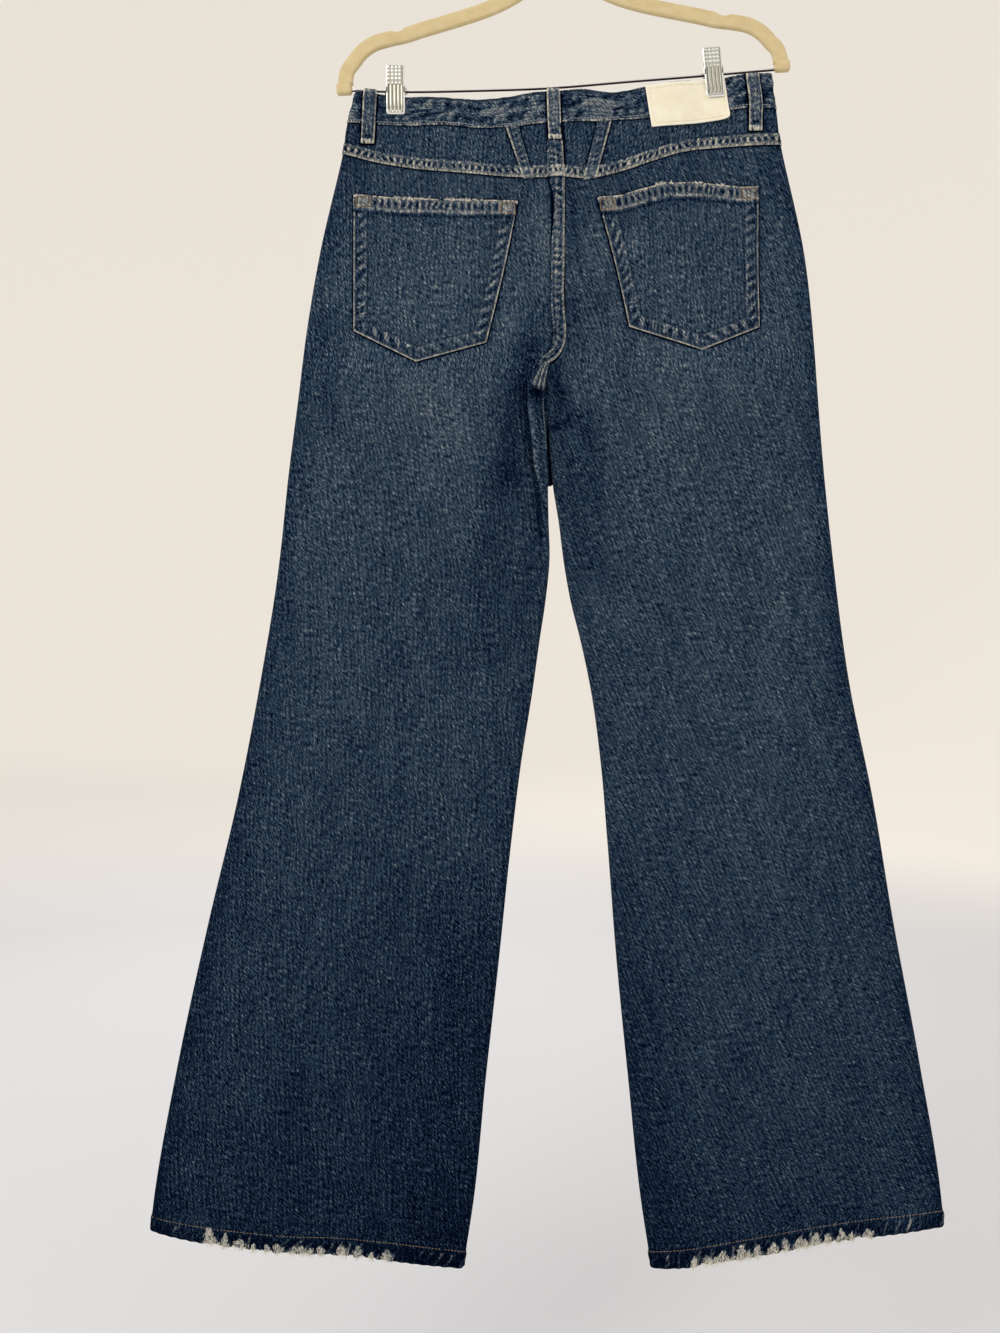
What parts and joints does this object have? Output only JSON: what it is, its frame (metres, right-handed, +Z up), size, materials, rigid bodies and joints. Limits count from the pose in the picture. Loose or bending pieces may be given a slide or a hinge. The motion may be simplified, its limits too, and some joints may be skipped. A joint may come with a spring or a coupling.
{
  "type": "wide leg jeans on a clip hanger",
  "caption": "Washed denim wide leg jeans hung by the waistband from a slim clip hanger, with back yoke, patch pockets, belt loops, a bare waistband patch, lapped fly and frayed hems.",
  "frame": {"origin": "inner top of the hanger's hook, where a wardrobe rod carries it", "axes": "+Z up; +X to the right as the back of the jeans is seen; the back faces -Y and the fly faces +Y"},
  "size_m": [0.754, 0.0345, 1.3549],
  "materials": {
    "denim": "washed indigo twill, paler on the seat and thighs",
    "denim_band": "washed indigo twill, puckered between its stitch lines",
    "denim_worn": "indigo twill worn pale along folded edges",
    "patch": "smooth cream, matt, bare",
    "velvet": "short cream flock",
    "steel": "bright pressed steel",
    "button": "aged, satin"
  },
  "bodies": {
    "root": {"waistband_back": "denim_band", "waistband_front_left": "denim_band", "waistband_front_right": "denim_band", "yoke_left": "denim", "yoke_right": "denim", "back_left": "denim", "back_right": "denim", "front_left": "denim", "front_right": "denim", "front_pocket_facing_left": "denim", "front_pocket_facing_right": "denim", "pocket_back_left": "denim", "pocket_back_right": "denim", "dart_strip_left": "denim_worn", "dart_strip_right": "denim_worn", "belt_loop_back_left": "denim_worn", "belt_loop_back_centre": "denim_worn", "belt_loop_back_right": "denim_worn", "belt_loop_front_left": "denim_worn", "belt_loop_front_right": "denim_worn", "patch": "patch", "fly_placket": "denim", "waist_button": "button", "hanger_frame": "velvet", "hanger_end_left": "velvet", "hanger_end_right": "velvet", "hanger_hook": "steel", "hanger_bar": "steel", "clip_left_back": "steel", "clip_left_front": "steel", "clip_left_spring": "steel", "clip_right_back": "steel", "clip_right_front": "steel", "clip_right_spring": "steel"}
  },
  "joints": []
}
